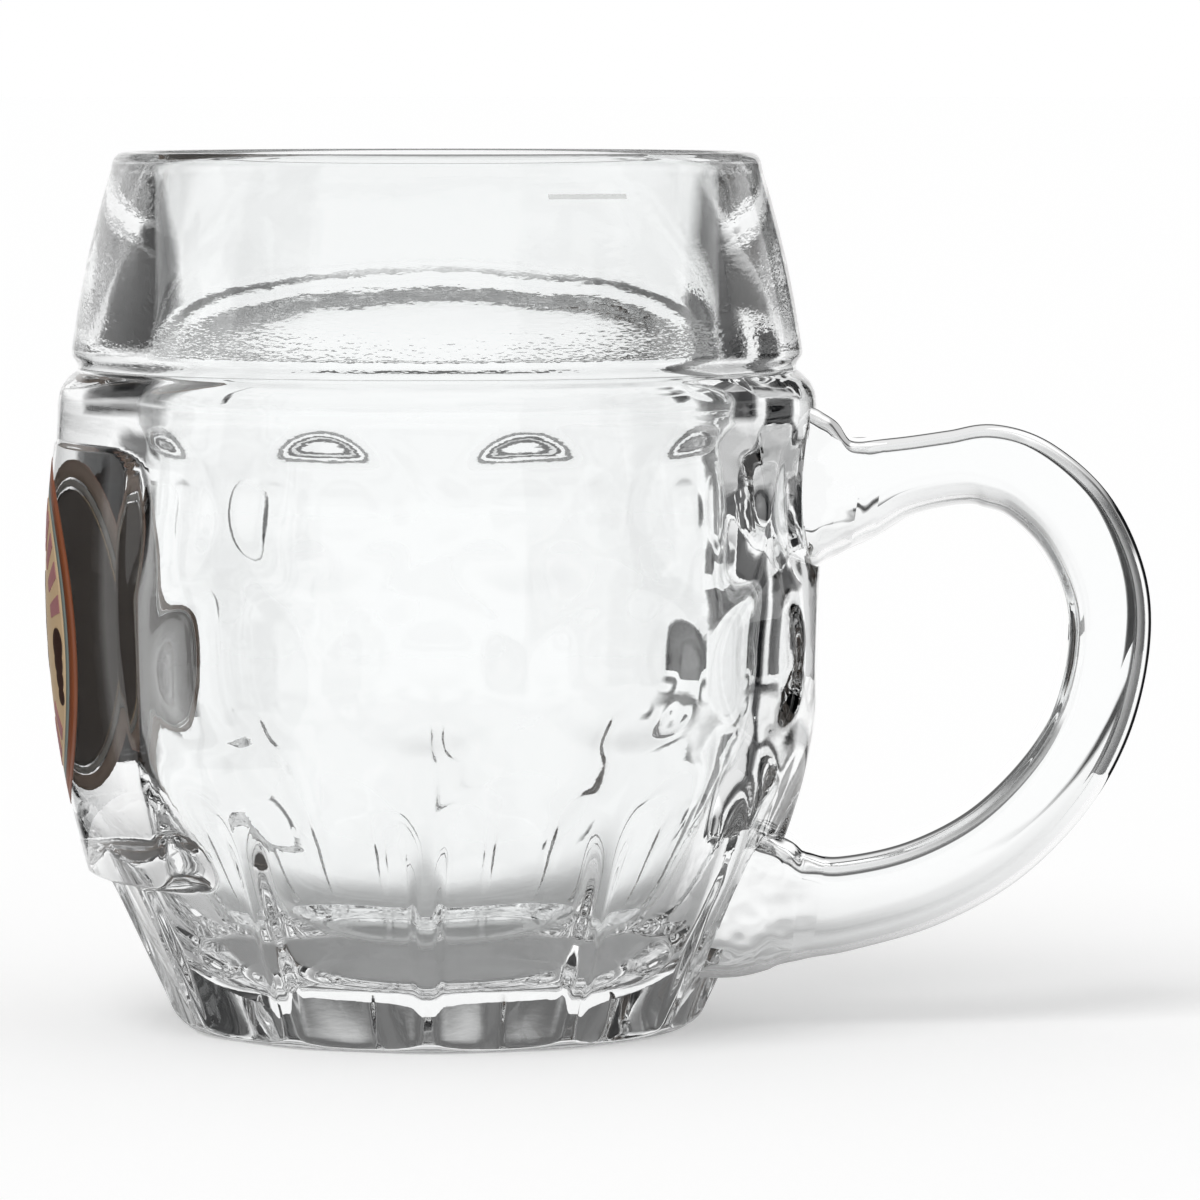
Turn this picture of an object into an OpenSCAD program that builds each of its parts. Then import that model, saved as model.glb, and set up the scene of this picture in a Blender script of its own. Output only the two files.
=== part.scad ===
// Dimpled glass beer mug: a mould-blown bowl, a handle fused to it while hot, and fired enamel print.
// Millimetres. The origin is the middle of the foot, on the table. +Z is up, and +X points to the handle.

/* [Bowl] */
// Height from the table to the rim
mug_h = 125; // [118:1:135]
// Outer diameter where the rim starts to round over
rim_d = 92.8; // [90:0.4:95.2]
// Wall thickness at the rim
rim_wall = 4.7; // [3.5:0.1:5.5]
// Height over which the rim rounds over
rim_round = 2.3; // [1.5:0.1:3]
// Height of the smooth lip band
band_h = 28.8; // [26:0.2:31]
// Outer diameter at the lower edge of the lip band
band_d = 104.6; // [102.6:0.2:106]
// How far the lip band bows out
band_bow = 0.6; // [0.2:0.1:1.2]
// Outer diameter at the bottom of the groove under the band
groove_d = 102.6; // [100.4:0.2:104]
// Height of the groove and the rounded shoulder under it
shoulder_h = 7.2; // [5:0.2:8.6]
// Outer diameter where the shoulder meets the belly
shoulder_d = 108.4; // [106.4:0.2:109.4]
// How far the belly bows out between the shoulder and the knuckle
belly_bow = 0.55; // [0.2:0.05:1]
// Height at which the belly turns in towards the foot
knuckle_h = 46; // [43:0.5:50]
// Outer diameter at that height
knuckle_d = 108.6; // [106.4:0.2:110]
// Height at which the turn ends and the straight taper starts
taper_h = 18.4; // [16:0.2:20]
// Outer diameter at the top of the straight taper
taper_d = 92; // [90:0.5:94]

/* [Foot] */
// Outer diameter of the flat ring that the mug stands on
foot_d = 70; // [66:0.5:73]
// Outer diameter at the top of the rounded heel
heel_d = 76.8; // [75:0.2:79]
// Height of the rounded heel
heel_h = 2.4; // [1.5:0.1:3.5]
// Diameter of the hollow under the foot
dish_d = 60; // [50:1:63]
// Depth of the hollow under the foot
dish_h = 1.8; // [0.8:0.1:3]

/* [Inside] */
// Thickness of the glass floor
floor_t = 10; // [8:0.5:13]
// Diameter of the flat part of the floor
floor_d = 36; // [30:1:44]
// Height over which the floor rounds into the wall
floor_round = 14.5; // [12:0.5:16]
// Inner diameter at the top of that round
bore_low_d = 76; // [73:0.2:78]
// Height at which the inside is widest
bore_belly_h = 56; // [50:1:62]
// Inner diameter at that height
bore_belly_d = 90; // [86:0.2:91]
// Inner diameter at the lower edge of the lip band
bore_band_d = 82.6; // [80:0.2:84]

/* [Dimples] */
// Number of dimples in a full row
dimples = 12; // [10:1:14]
// Height of the upper row's middle
eye_high_z = 76.6; // [75:0.2:78]
// Height of the lower row's middle
eye_low_z = 52.2; // [51:0.2:54]
// Width of a round dimple
eye_w = 25.2; // [22:0.2:25.6]
// Height of a round dimple
eye_h = 23.4; // [20:0.2:24]
// Depth of a round dimple
eye_depth = 2.2; // [1.8:0.1:2.6]

/* [Petals] */
// Depth of the long dimples around the base, at their middle
petal_depth = 2.3; // [1.6:0.1:2.6]
// Height of a long dimple's middle
petal_z = 19.5; // [18:0.5:21]
// Lean of a long dimple from upright, in degrees
petal_lean = 23; // [21.5:0.5:24]
// Radius of the hollow across a long dimple
petal_round = 120; // [100:5:160]
// Radius of the hollow along a long dimple
petal_sweep = 260; // [220:10:340]

/* [Label pad] */
// Width of the raised pad, seen from the front
pad_w = 72.2; // [66:0.5:76]
// Height of the pad's lower edge
pad_z = 22.3; // [21:0.1:24]
// Height of the pad's upper edge
pad_top_z = 83.7; // [81:0.1:85]
// Diameter over the pad at its lower edge
pad_low_d = 100.4; // [99:0.2:102]
// Diameter over the pad at its upper edge
pad_top_d = 109.4; // [109:0.2:111]
// How far the pad bows out between those edges
pad_bow = 3.1; // [2.6:0.1:3.6]
// Radius of the pad's corners
pad_corner = 4; // [1:0.5:8]
// Least that the pad stands out from the glass around it
pad_least = 0.2; // [0.1:0.05:0.4]

/* [Print] */
// Outer diameter of the printed ring
print_d = 50; // [44:1:52]
// Height of the print's middle
print_z = 56.4; // [54:0.2:57]
// Width of the outer ring
ring_w = 2.6; // [1.4:0.1:3.2]
// Clear gap between neighbouring colours
print_gap = 0.3; // [0.2:0.05:0.6]
// Width of the thin line inside the ring
line_w = 1.1; // [0.5:0.1:1.6]
// Thickness of one fired colour
ink_t = 0.12; // [0.08:0.01:0.2]
// Number of rays around the field
rays = 24; // [12:2:32]
// Length of a ray
ray_len = 5.4; // [3:0.2:6]
// Height of the barley ear in the middle
ear_h = 25; // [20:0.5:26]
// Length of one grain of the ear
grain_len = 6.4; // [5:0.1:7]
// Width of one grain of the ear
grain_w = 2.5; // [1.6:0.1:3]
// Width of the ear's stem
stem_w = 0.9; // [0.5:0.1:1.2]
// Height of the hop cone on each side of the ear
cone_h = 11; // [8:0.5:11]
// Width of a hop cone
cone_w = 5; // [3:0.1:5]

/* [Fill line] */
// Distance from the rim down to the fill line
fill_drop = 5.8; // [4:0.2:15]
// Length of the fill line
fill_len = 12; // [6:1:20]
// Height of the fill line's stroke
fill_w = 0.7; // [0.4:0.1:1.2]
// Angle from the handle to the fill line, in degrees
fill_angle = -62; // [-80:1:-30]

/* [Handle] */
// Distance from the mug's axis to the middle of the grip
handle_x = 95.6; // [92:0.2:102]
// Height of the middle of the upper arm
handle_z = 81; // [79:0.2:82]
// Thickness of the grip
handle_t = 12.2; // [10:0.2:14]
// Width of the grip
handle_w = 18.6; // [15:0.2:22]
// Rounding of the grip's edges on the finger side
edge_in = 4; // [2:0.1:4.8]
// Rounding of the grip's edges on the outer side
edge_out = 2.4; // [1:0.1:4.5]

/* [Hidden] */

// Facets of a full turn in the preview
$fn = 144;
// Steps along a rounded stretch of a profile
arc_steps = 6;
// Steps between two stations of the handle, and around one corner of its section
sweep_steps = 4;
corner_steps = 4;
// How far a cutting shape runs past what it cuts
overrun = 2;
// How much of a hollow's cutting wheel is drawn, measured in from its edge
wheel_rim = 9;

pitch = 360 / dimples;
band_z = mug_h - band_h;
shoulder_z = band_z - shoulder_h;
rim_in_d = rim_d - 2 * rim_wall;
rim_mid_r = (rim_d + rim_in_d) / 4;
widest = pad_top_d + 2 * pad_bow;
fill_z = mug_h - fill_drop;

// Rises of the small rounds, and the groove's flat and step, worked out from what they join
heel_bow = heel_h * 0.3;
turn_bow = (knuckle_h - taper_h) * 0.055;
shoulder_bow = shoulder_h * 0.12;
groove_flat = shoulder_h * 0.12;
groove_step = shoulder_h * 0.2;
rim_bow = rim_round * 0.36;
floor_bow = floor_round * 0.245;
bore_low_bow = (bore_belly_h - floor_t - floor_round) * 0.076;
bore_high_bow = (band_z - bore_belly_h) * 0.034;
dish_bow = dish_h * 0.3;
cone_drop = cone_h * 0.36;

// The handle's middle line from the upper root to the lower root. Each row holds the distance from
// the mug's axis, the height, the thickness and the width, as shares of the handle's four sizes.
handle_shares = [
    [0.52, 0.955, 2.05, 1.24],
    [0.573, 0.95, 1.8, 1.16],
    [0.626, 0.95, 1.24, 1.05],
    [0.69, 0.972, 0.95, 1],
    [0.77, 0.989, 0.89, 1],
    [0.826, 0.992, 0.99, 1],
    [0.887, 0.966, 1, 1],
    [0.954, 0.89, 1.02, 1],
    [0.997, 0.776, 1, 1],
    [1, 0.657, 0.97, 1],
    [0.972, 0.53, 0.96, 1],
    [0.917, 0.421, 0.98, 1],
    [0.83, 0.321, 1, 1],
    [0.724, 0.254, 1.03, 1],
    [0.612, 0.22, 1.1, 1.03],
    [0.548, 0.217, 1.27, 1.1],
    [0.505, 0.222, 1.55, 1.18],
    [0.455, 0.225, 1.75, 1.24],
    [0.39, 0.226, 1.8, 1.26]];

// Points from p to q on an arc that rises to the right of the way, without q itself
function arc(p, q, rise, steps = arc_steps) =
    let (chord = norm(q - p), way = (q - p) / chord, side = [way.y, -way.x] * sign(rise))
    let (r = (chord * chord / 4 + rise * rise) / abs(rise) / 2, half = asin(chord / 2 / r))
    [for (i = [0 : steps - 1])
        let (a = half * (2 * i / steps - 1))
        (p + q) / 2 + way * r * sin(a) + side * r * (cos(a) - cos(half))];

// Outer profile of the blank, from the middle of the foot out, up and in to the axis
function blank_profile() = concat(
    [[0, 0]],
    arc([foot_d / 2, 0], [heel_d / 2, heel_h], heel_bow),
    [[heel_d / 2, heel_h]],
    arc([taper_d / 2, taper_h], [knuckle_d / 2, knuckle_h], turn_bow),
    arc([knuckle_d / 2, knuckle_h], [shoulder_d / 2, shoulder_z], belly_bow),
    arc([shoulder_d / 2, shoulder_z], [groove_d / 2, band_z - groove_step - groove_flat], shoulder_bow),
    [[groove_d / 2, band_z - groove_step - groove_flat], [groove_d / 2, band_z - groove_step]],
    band_arc(0),
    tail(arc([rim_d / 2, mug_h - rim_round], [rim_mid_r, mug_h], rim_bow)),
    [[rim_mid_r, mug_h], [0, mug_h]]);

// The lip band's outer face, moved out by a coat of the given thickness
function band_arc(coat) =
    let (low = [band_d / 2, band_z], top = [rim_d / 2, mug_h - rim_round])
    [for (p = concat(arc(low, top, band_bow), [top])) p + [coat, 0]];

// Radius of the blank's side at a height between the taper and the shoulder
function side_r(z) =
    lookup(z, [for (p = concat(
        arc([taper_d / 2, taper_h], [knuckle_d / 2, knuckle_h], turn_bow),
        arc([knuckle_d / 2, knuckle_h], [shoulder_d / 2, shoulder_z], belly_bow),
        [[shoulder_d / 2, shoulder_z]])) [p.y, p.x]]);

// The pad's outer face, with a point level with the knuckle, moved out by a number of coats of ink
function pad_arc(coats) =
    let (low = [pad_low_d / 2, pad_z], top = [pad_top_d / 2, pad_top_z])
    let (line = concat(arc(low, top, pad_bow, 2 * arc_steps), [top]))
    let (knuckle = [lookup(knuckle_h, [for (p = line) [p.y, p.x]]), knuckle_h])
    [for (p = concat([for (p = line) if (p.y < knuckle_h) p], [knuckle], [for (p = line) if (p.y > knuckle_h) p]))
        [max(p.x, side_r(p.y) + pad_least) + coats * ink_t, p.y]];

// Radius of the belly at a height between the knuckle and the shoulder
function belly_r(z) =
    let (s = (z - knuckle_h) / (shoulder_z - knuckle_h))
    (knuckle_d + s * (shoulder_d - knuckle_d)) / 2 + 4 * belly_bow * s * (1 - s);

// Radius of the blank at a height on the turn and the taper above the heel
function turn_r(z) =
    let (t = (z - heel_h) / (taper_h - heel_h), s = (z - taper_h) / (knuckle_h - taper_h))
    z < taper_h ? (heel_d + t * (taper_d - heel_d)) / 2
        : (taper_d + s * (knuckle_d - taper_d)) / 2 + 4 * turn_bow * s * (1 - s);

// Radius of the circle over a chord with a given rise
function over_chord(chord, rise) = (chord * chord / 4 + rise * rise) / rise / 2;

function reversed(list) = [for (i = [len(list) - 1 : -1 : 0]) list[i]];

function tail(list) = [for (i = [1 : len(list) - 1]) list[i]];

// The part of a cutting wheel near the mug: its edge bends by across_r around and by along_r up and down
module wheel(across_r, along_r, reach) {
    turn = 3 * asin(reach / across_r);
    rotate([0, 0, 180 - turn / 2])
        rotate_extrude(angle = turn, $fn = 3 * $fn)
            intersection() {
                translate([across_r - along_r, 0])
                    circle(along_r, $fn = 3 * $fn);
                translate([across_r - wheel_rim, -2 * reach])
                    square([wheel_rim + overrun, 4 * reach]);
            }
}

// Cutter of one round dimple whose middle is at height z
module eye(z) {
    r = belly_r(z);
    chord_rise = r * (1 - cos(asin(eye_w / 2 / r)));
    across_r = over_chord(eye_w, eye_depth - chord_rise);
    translate([r - eye_depth + across_r, 0, z])
        wheel(across_r, over_chord(eye_h, eye_depth), eye_w / 2);
}

// Cutter of one long dimple at the base
module petal() {
    translate([turn_r(petal_z) - petal_depth / cos(petal_lean), 0, petal_z])
        rotate([0, petal_lean, 0])
            translate([petal_round, 0, 0])
                wheel(petal_round, petal_sweep, eye_w / 2);
}

// The solid outside of the bowl with its dimples. Sides counts the dimples cut on each side of the handle.
module blank(sides) {
    difference() {
        rotate_extrude()
            polygon(blank_profile());
        for (way = [-1, 1], i = [1 : sides]) {
            rotate([0, 0, way * (i - 0.5) * pitch])
                petal();
            if ((i - 0.5) * pitch < pad_edge + pitch / 2)
                rotate([0, 0, way * (i - 0.5) * pitch])
                    eye(eye_high_z);
            if (i * pitch < pad_edge)
                rotate([0, 0, way * i * pitch])
                    eye(eye_low_z);
        }
    }
}

// Angle from the handle at which the pad starts
pad_edge = 180 - asin(pad_w / widest);

// A shape drawn as seen from the front, carried through the pad's side of the mug
module from_front() {
    rotate([90, 0, 90])
        translate([0, 0, -widest])
            linear_extrude(widest)
                children();
}

// The pad's side of a solid of revolution
module pad_turn(points) {
    rotate([0, 0, pad_edge - pitch])
        rotate_extrude(angle = 2 * (180 - pad_edge + pitch))
            polygon(points);
}

module pad() {
    tall = pad_top_z - pad_z;
    intersection() {
        pad_turn(concat([[0, pad_z]], pad_arc(0), [[0, pad_top_z]]));
        from_front()
            translate([0, pad_z + tall / 2])
                rounded(pad_w, tall, pad_corner);
    }
}

module rounded(w, h, r) {
    square([w - 2 * r, h], center = true);
    square([w, h - 2 * r], center = true);
    for (x = [-1, 1], y = [-1, 1])
        translate([x * (w / 2 - r), y * (h / 2 - r)])
            circle(r);
}

// The inside, as wide at the belly as the blown wall leaves it, with the inner half of the rim's round
module bore() {
    rotate_extrude()
        polygon(concat(
            [[0, floor_t]],
            arc([floor_d / 2, floor_t], [bore_low_d / 2, floor_t + floor_round], floor_bow),
            arc([bore_low_d / 2, floor_t + floor_round], [bore_belly_d / 2, bore_belly_h], bore_low_bow),
            arc([bore_belly_d / 2, bore_belly_h], [bore_band_d / 2, band_z], bore_high_bow),
            [[bore_band_d / 2, band_z]],
            arc([rim_in_d / 2, mug_h - rim_round], [rim_mid_r, mug_h], -rim_bow),
            [[rim_mid_r, mug_h], [rim_mid_r, mug_h + overrun], [0, mug_h + overrun]]));
}

// The shallow hollow under the foot
module dish() {
    rotate_extrude()
        polygon(concat(
            [[0, -overrun], [dish_d / 2, -overrun]],
            arc([dish_d / 2, 0], [0, dish_h], dish_bow),
            [[0, dish_h]]));
}

module bowl() {
    color([0.86, 0.89, 0.88, 0.5])
        difference() {
            union() {
                blank(ceil(dimples / 2));
                pad();
            }
            bore();
            dish();
        }
}

// A point between the two middle ones of four, on the smooth curve through them all
function between(a, b, c, d, t) =
    (2 * b + (c - a) * t + (2 * a - 5 * b + 4 * c - d) * t * t + (3 * b - a - 3 * c + d) * t * t * t) / 2;

// The handle's stations, scaled to its sizes
function stations() =
    [for (s = handle_shares) [s[0] * handle_x, s[1] * handle_z, s[2] * handle_t, s[3] * handle_w]];

// The smooth line through the stations, with its thickness and width at each step
function handle_line() =
    let (s = stations(), last = len(s) - 1)
    concat(
        [for (i = [0 : last - 1], k = [0 : sweep_steps - 1])
            between(s[max(i - 1, 0)], s[i], s[i + 1], s[min(i + 2, last)], k / sweep_steps)],
        [s[last]]);

// Points around one corner of the handle's section, from angle a on
function corner(side_t, side_w, t, w, r, a) =
    [for (k = [0 : corner_steps])
        let (b = a + 90 * k / corner_steps)
        [side_t * (t / 2 - r) + r * cos(b), side_w * (w / 2 - r) + r * sin(b)]];

// The handle's section as pairs: how far out from the finger side, and how far across
function section(t, w) = concat(
    corner(1, 1, t, w, edge_out, 0),
    corner(-1, 1, t, w, edge_in, 90),
    corner(-1, -1, t, w, edge_in, 180),
    corner(1, -1, t, w, edge_out, 270));

// One ring of points around the line at p, square to the way from a to b
function ring(p, a, b) =
    let (way = [b.x - a.x, b.y - a.y] / norm([b.x - a.x, b.y - a.y]))
    [for (c = section(p[2], p[3])) [p.x - way.y * c.x, c.y, p.y + way.x * c.x]];

// The handle before it meets the bowl: rings joined by pairs of triangles, with a flat end at both roots
module bar() {
    line = handle_line();
    last = len(line) - 1;
    around = len(section(handle_t, handle_w));
    points = [for (i = [0 : last]) each ring(line[i], line[max(i - 1, 0)], line[min(i + 1, last)])];
    sides = [for (i = [0 : last - 1], k = [0 : around - 1])
        let (a = i * around + k, b = i * around + (k + 1) % around)
        each [[a, b, b + around], [a, b + around, a + around]]];
    ends = [reversed([for (k = [0 : around - 1]) k]), [for (k = [0 : around - 1]) last * around + k]];
    polyhedron(points, concat(sides, ends));
}

module handle() {
    color([0.86, 0.89, 0.88, 0.5])
        difference() {
            bar();
            blank(1);
        }
}

module fill_line() {
    r = (rim_d + band_d) / 4;
    turn = fill_len / r * 180 / PI;
    color("gainsboro")
        rotate([0, 0, fill_angle - turn / 2])
            intersection() {
                rotate_extrude(angle = turn)
                    polygon(concat(band_arc(0), reversed(band_arc(ink_t))));
                translate([0, 0, fill_z - fill_w / 2])
                    cylinder(r = widest, h = fill_w);
            }
}

// A flat print carried onto the pad, as the coat of the given number
module printed(coat) {
    intersection() {
        pad_turn(concat(pad_arc(coat), reversed(pad_arc(coat + 1))));
        from_front()
            translate([0, print_z])
                children();
    }
}

module flat_ring(d, w) {
    difference() {
        circle(d = d);
        circle(d = d - 2 * w);
    }
}

line_d = print_d - 2 * (ring_w + print_gap);
field_d = line_d - 2 * (line_w + print_gap);

module emblem_ring() {
    color("#8a4a22")
        printed(0)
            flat_ring(print_d, ring_w);
}

module emblem_line() {
    color("#75807c")
        printed(0)
            flat_ring(line_d, line_w);
}

module emblem_field() {
    color("#cbb391")
        printed(0)
            circle(d = field_d);
}

// Turn from the print's right side to a ray, in degrees
function ray_turn(i) = i * 360 / rays;

// Rays that widen outwards, and stop short of the field's edge. None runs where a hop cone hangs.
module emblem_rays() {
    outer = field_d / 2 - line_w;
    inner = outer - ray_len;
    half = 90 / rays;
    above = 0.2;
    below = -0.6;
    color("#a9787a")
        printed(1)
            for (i = [0 : rays - 1])
                if (sin(ray_turn(i)) > above || sin(ray_turn(i)) < below)
                    rotate(ray_turn(i))
                        polygon([
                            [inner * cos(half), -inner * sin(half)],
                            [outer * cos(half), -outer * sin(half)],
                            [outer * cos(half), outer * sin(half)],
                            [inner * cos(half), inner * sin(half)]]);
}

// One grain, pointed at both ends, standing on its lower point
module grain() {
    r = over_chord(grain_len, grain_w / 2);
    intersection_for (side = [-1, 1])
        translate([side * (r - grain_w / 2), grain_len / 2])
            circle(r);
}

// A barley ear: a stem, pairs of grains that lean out from it, and one grain on top
module barley_ear() {
    pairs = 4;
    lean = 24;
    stem = ear_h - grain_len;
    rise = (stem - grain_len) / (pairs - 1) * 0.86;
    translate([0, -ear_h / 2]) {
        translate([-stem_w / 2, 0])
            square([stem_w, stem + stem_w]);
        translate([0, stem])
            grain();
        for (i = [0 : pairs - 1], side = [-1, 1])
            translate([side * stem_w / 4, stem - i * rise - grain_len / 2])
                rotate(-side * lean)
                    grain();
    }
}

// A hop cone: round scales one under the other, each narrower than the one above it
module hop_cone() {
    scales = 4;
    narrowing = 0.15;
    lowest = cone_w * (1 - (scales - 1) * narrowing);
    reach = cone_h - (cone_w + lowest) / 2;
    for (i = [0 : scales - 1])
        translate([0, (cone_h - cone_w) / 2 - i * reach / (scales - 1)])
            circle(d = cone_w * (1 - i * narrowing));
}

// The dark colour: the ear, and a hop cone on each side of it
module emblem_ear() {
    aside = (field_d - cone_w) / 2 - line_w;
    color("#3d2418")
        printed(1) {
            barley_ear();
            for (side = [-1, 1])
                translate([side * aside, -cone_drop])
                    hop_cone();
        }
}

bowl();
handle();
fill_line();
emblem_field();
emblem_rays();
emblem_ear();
emblem_line();
emblem_ring();
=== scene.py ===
"""Looks of a dimpled glass beer mug.

The moulded bowl and its handle are worked out as fine numpy surfaces in the CAD frame, and the fired
enamel print as thin shells on the label pad. Their lengths are millimetres until mesh() turns them to
metres. The stage, the lamp and the camera are in metres. +Z is up, +X points to the handle, and -X to the
print.
"""

import math

import bpy
import numpy as np
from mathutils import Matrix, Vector


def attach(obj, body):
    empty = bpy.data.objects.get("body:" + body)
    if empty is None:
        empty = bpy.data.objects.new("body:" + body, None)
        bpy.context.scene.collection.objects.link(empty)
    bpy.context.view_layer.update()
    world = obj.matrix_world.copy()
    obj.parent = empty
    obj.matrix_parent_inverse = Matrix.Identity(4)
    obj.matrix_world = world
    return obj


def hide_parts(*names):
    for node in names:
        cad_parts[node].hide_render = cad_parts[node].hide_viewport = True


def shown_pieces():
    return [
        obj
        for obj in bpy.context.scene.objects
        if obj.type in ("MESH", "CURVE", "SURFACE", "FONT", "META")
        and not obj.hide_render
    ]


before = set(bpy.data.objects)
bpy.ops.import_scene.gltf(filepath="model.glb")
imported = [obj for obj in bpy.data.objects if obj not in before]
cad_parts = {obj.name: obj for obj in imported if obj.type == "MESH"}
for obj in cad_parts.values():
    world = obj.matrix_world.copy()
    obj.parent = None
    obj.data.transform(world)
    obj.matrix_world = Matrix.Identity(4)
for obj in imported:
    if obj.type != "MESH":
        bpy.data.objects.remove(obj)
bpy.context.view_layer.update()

MM = 0.001

# Bowl, as in the CAD source
MUG_H = 125.0
RIM_R, RIM_WALL, RIM_ROUND = 46.4, 4.7, 2.3
RIM_IN_R = RIM_R - RIM_WALL
RIM_MID_R = (RIM_R + RIM_IN_R) / 2
BAND_Z, BAND_R, BAND_BOW = 96.2, 52.3, 0.6
SHOULDER_H, SHOULDER_R, GROOVE_R = 7.2, 54.2, 51.3
SHOULDER_Z = BAND_Z - SHOULDER_H
GROOVE_FLAT, GROOVE_STEP = SHOULDER_H * 0.12, SHOULDER_H * 0.2
KNUCKLE_Z, KNUCKLE_R, BELLY_BOW = 46.0, 54.3, 0.55
TAPER_Z, TAPER_R, TURN_BOW = 18.4, 46.0, 1.518
HEEL_Z, HEEL_R, FOOT_R = 2.4, 38.4, 35.0
DISH_R, DISH_H = 30.0, 3.0
FLOOR_Z, FLOOR_R, FLOOR_ROUND = 10.0, 18.0, 14.5
TURN_Z = FLOOR_Z + FLOOR_ROUND
BORE_LOW_R, BORE_BELLY_Z, BORE_BELLY_R, BORE_BAND_R = 38.0, 56.0, 45.0, 41.3

# How far the bowl's other arcs rise over their chords
RIM_RISE, SHOULDER_RISE = RIM_ROUND * 0.36, SHOULDER_H * 0.12
DISH_RISE, HEEL_RISE, FLOOR_RISE = DISH_H * 0.3, HEEL_Z * 0.3, FLOOR_ROUND * 0.245
BORE_HIGH_RISE, BORE_LOW_RISE = (BAND_Z - BORE_BELLY_Z) * 0.034, (BORE_BELLY_Z - TURN_Z) * 0.076

# Radius over which fire-polishing rounds the creases of each stretch of the profile
FOOT_SOFT, SIDE_SOFT, RIM_SOFT, BORE_SOFT = 0.5, 0.28, 0.4, 2.5

# Dimples: two rows of round ones, the eyes, and one row of long ones around the base, the petals. Each row
# goes on both sides of the handle up to its last angle.
PITCH = math.radians(30)
RIBS = round(2 * math.pi / PITCH)
EYE_HIGH_Z, EYE_LOW_Z = 76.6, 52.2
EYE_HIGH_LAST, EYE_LOW_LAST = math.radians(135), math.radians(120)
EYE_W, EYE_H, EYE_DEPTH, EYE_SOFT = 25.2, 23.4, 1.5, 0.4
PETAL_Z, PETAL_DEPTH, PETAL_LEAN, PETAL_LAST = 19.5, 2.3, math.radians(23), math.radians(165)
PETAL_ROUND, PETAL_SWEEP, PETAL_END_Z, PETAL_SOFT = 120.0, 260.0, 52.0, 0.9

# Between which radii a petal's surface is sought, and the radius that stands for no cut
SEEK_FROM, SEEK_TO, UNCUT = 20.0, 70.0, 99.0

# Ribs between the long dimples: their flat top's half width and its step, the width of their slopes, and
# how much wider these are above the height where the flat has faded out
RIB_HALF, RIB_STEP, RIB_SIDE, RIB_SPREAD = 0.6, 0.2, 2.1, 1.8
RIB_TOP_Z, RIB_FADE = 34.0, 12.0

# Label pad, the softness of its edges, and how steeply its ledges fall back to the bowl
PAD_HALF_W, PAD_LOW_Z, PAD_TOP_Z, PAD_CORNER = 36.1, 22.3, 83.7, 4.0
PAD_LOW_R, PAD_TOP_R, PAD_BOW = 50.2, 54.7, 3.1
PAD_SOFT, PAD_SIDE_SOFT, LEDGE_FALL = 0.4, 0.5, 9.0

# Print, from the ring inwards, and the measuring line. Ink stands proud of the glass and is sunk a little.
PRINT_Z, PRINT_R, RING_W, LINE_W, PRINT_GAP = 56.4, 25.0, 2.6, 1.1, 0.3
RING_IN_R = PRINT_R - RING_W
LINE_R = RING_IN_R - PRINT_GAP
LINE_IN_R = LINE_R - LINE_W
FIELD_R = LINE_IN_R - PRINT_GAP
INK, INK_SUNK = 0.12, 0.04
FILL_Z, FILL_LEN, FILL_W, FILL_AT = 119.2, 12.0, 0.7, math.radians(-62)

# Slow waves in the glass: how many go around, the height of one radian, the start and the share of each,
# their most outside and inside, and between which heights they fade in, stand full and fade out
WAVES = ((5, 11, 0.4, 1), (9, -7.5, 1.9, 0.8), (14, 5.2, 4.1, 0.6), (3, 3.7, 2.2, 0.5))
WAVE_OUT, WAVE_IN = 0.045, 0.05
WAVY_OUT, WAVY_IN = (4, 12, 115, 121), (14, 26, 112, 120)

# Handle: its reach, height, thickness and width, the radius of its corners on the finger side and
# outside, and the shares of the first four at each station from the upper root to the lower root
HANDLE_X, HANDLE_Z, HANDLE_T, HANDLE_W = 95.6, 81.0, 12.2, 18.6
EDGE_IN, EDGE_OUT = 4.0, 2.4
HANDLE_SHARES = (
    (0.52, 0.955, 2.05, 1.24), (0.573, 0.95, 1.8, 1.16), (0.626, 0.95, 1.24, 1.05),
    (0.69, 0.972, 0.95, 1), (0.77, 0.989, 0.89, 1), (0.826, 0.992, 0.99, 1), (0.887, 0.966, 1, 1),
    (0.954, 0.89, 1.02, 1), (0.997, 0.776, 1, 1), (1, 0.657, 0.97, 1), (0.972, 0.53, 0.96, 1),
    (0.917, 0.421, 0.98, 1), (0.83, 0.321, 1, 1), (0.724, 0.254, 1.03, 1), (0.612, 0.22, 1.1, 1.03),
    (0.548, 0.217, 1.27, 1.1), (0.505, 0.222, 1.55, 1.18), (0.455, 0.225, 1.75, 1.24),
    (0.39, 0.226, 1.8, 1.26))

# Where the handle's roots can reach the bowl, and how deep in the bar a face of the bowl counts as fused
ROOT_X, ROOT_HALF_W, FUSED_DEPTH = 35.0, 16.0, 0.05

# Rows of the bowl's mesh: a coarse step for each stretch, and a fine one near the pad's ledges
FOOT_ROW, SIDE_ROW, BORE_ROW = 3.2, 1.0, 2.8
LEDGE_ROW, LEDGE_REACH = 0.36, 1.2


# Profiles

def over_chord(chord, rise):
    """Radius of the circle over a chord with a given rise: half the sum of the rise and of the square of
    half the chord over the rise."""
    return (chord * chord / 4 + rise * rise) / rise / 2


def arc(p, q, rise, steps=24):
    """Points from p to q on the circular arc that rises to the right of the way, both ends included. A
    rise below zero is one to the left."""
    p, q = np.array(p, float), np.array(q, float)
    chord = np.hypot(*(q - p))
    way = (q - p) / chord
    side = np.array([way[1], -way[0]]) * np.sign(rise)
    r = over_chord(chord, abs(rise))
    half = math.asin(chord / 2 / r)
    a = np.linspace(-half, half, steps + 1)[:, None]
    return (p + q) / 2 + way * r * np.sin(a) + side * r * (np.cos(a) - math.cos(half))


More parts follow.
